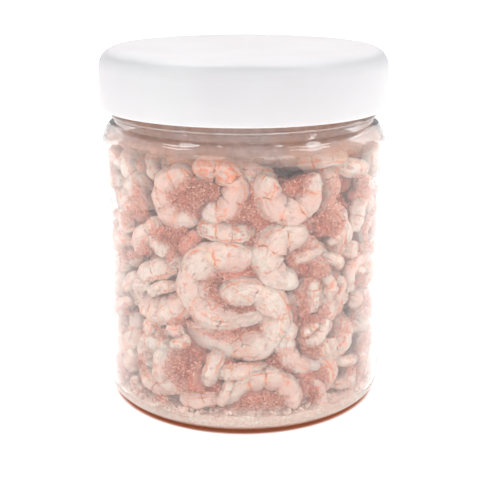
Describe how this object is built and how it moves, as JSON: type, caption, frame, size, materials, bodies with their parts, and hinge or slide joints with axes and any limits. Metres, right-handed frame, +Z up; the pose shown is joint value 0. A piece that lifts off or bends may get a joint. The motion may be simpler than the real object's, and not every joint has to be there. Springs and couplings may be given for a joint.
{
  "type": "jar of freeze-dried shrimp",
  "caption": "Clear straight-sided plastic jar with a smooth white screw lid, packed with small curled freeze-dried shrimp over a layer of crumbs.",
  "frame": {"origin": "centre of the jar's base, on the surface it stands on", "axes": "+Z up along the jar's axis, -Y towards the front that the picture shows"},
  "size_m": [0.085, 0.085, 0.1045],
  "materials": {
    "clear_plastic": "clear, glossy, dusted on the inside",
    "white_plastic": "smooth satin",
    "dried_shrimp": "dry, chalky flesh with orange lines",
    "shrimp_crumbs": "dusty crumbs"
  },
  "bodies": {
    "root": {"jar": "clear_plastic", "screw_lid": "white_plastic", "shrimp_heap": "dried_shrimp", "crumb_layer": "shrimp_crumbs"}
  },
  "joints": []
}
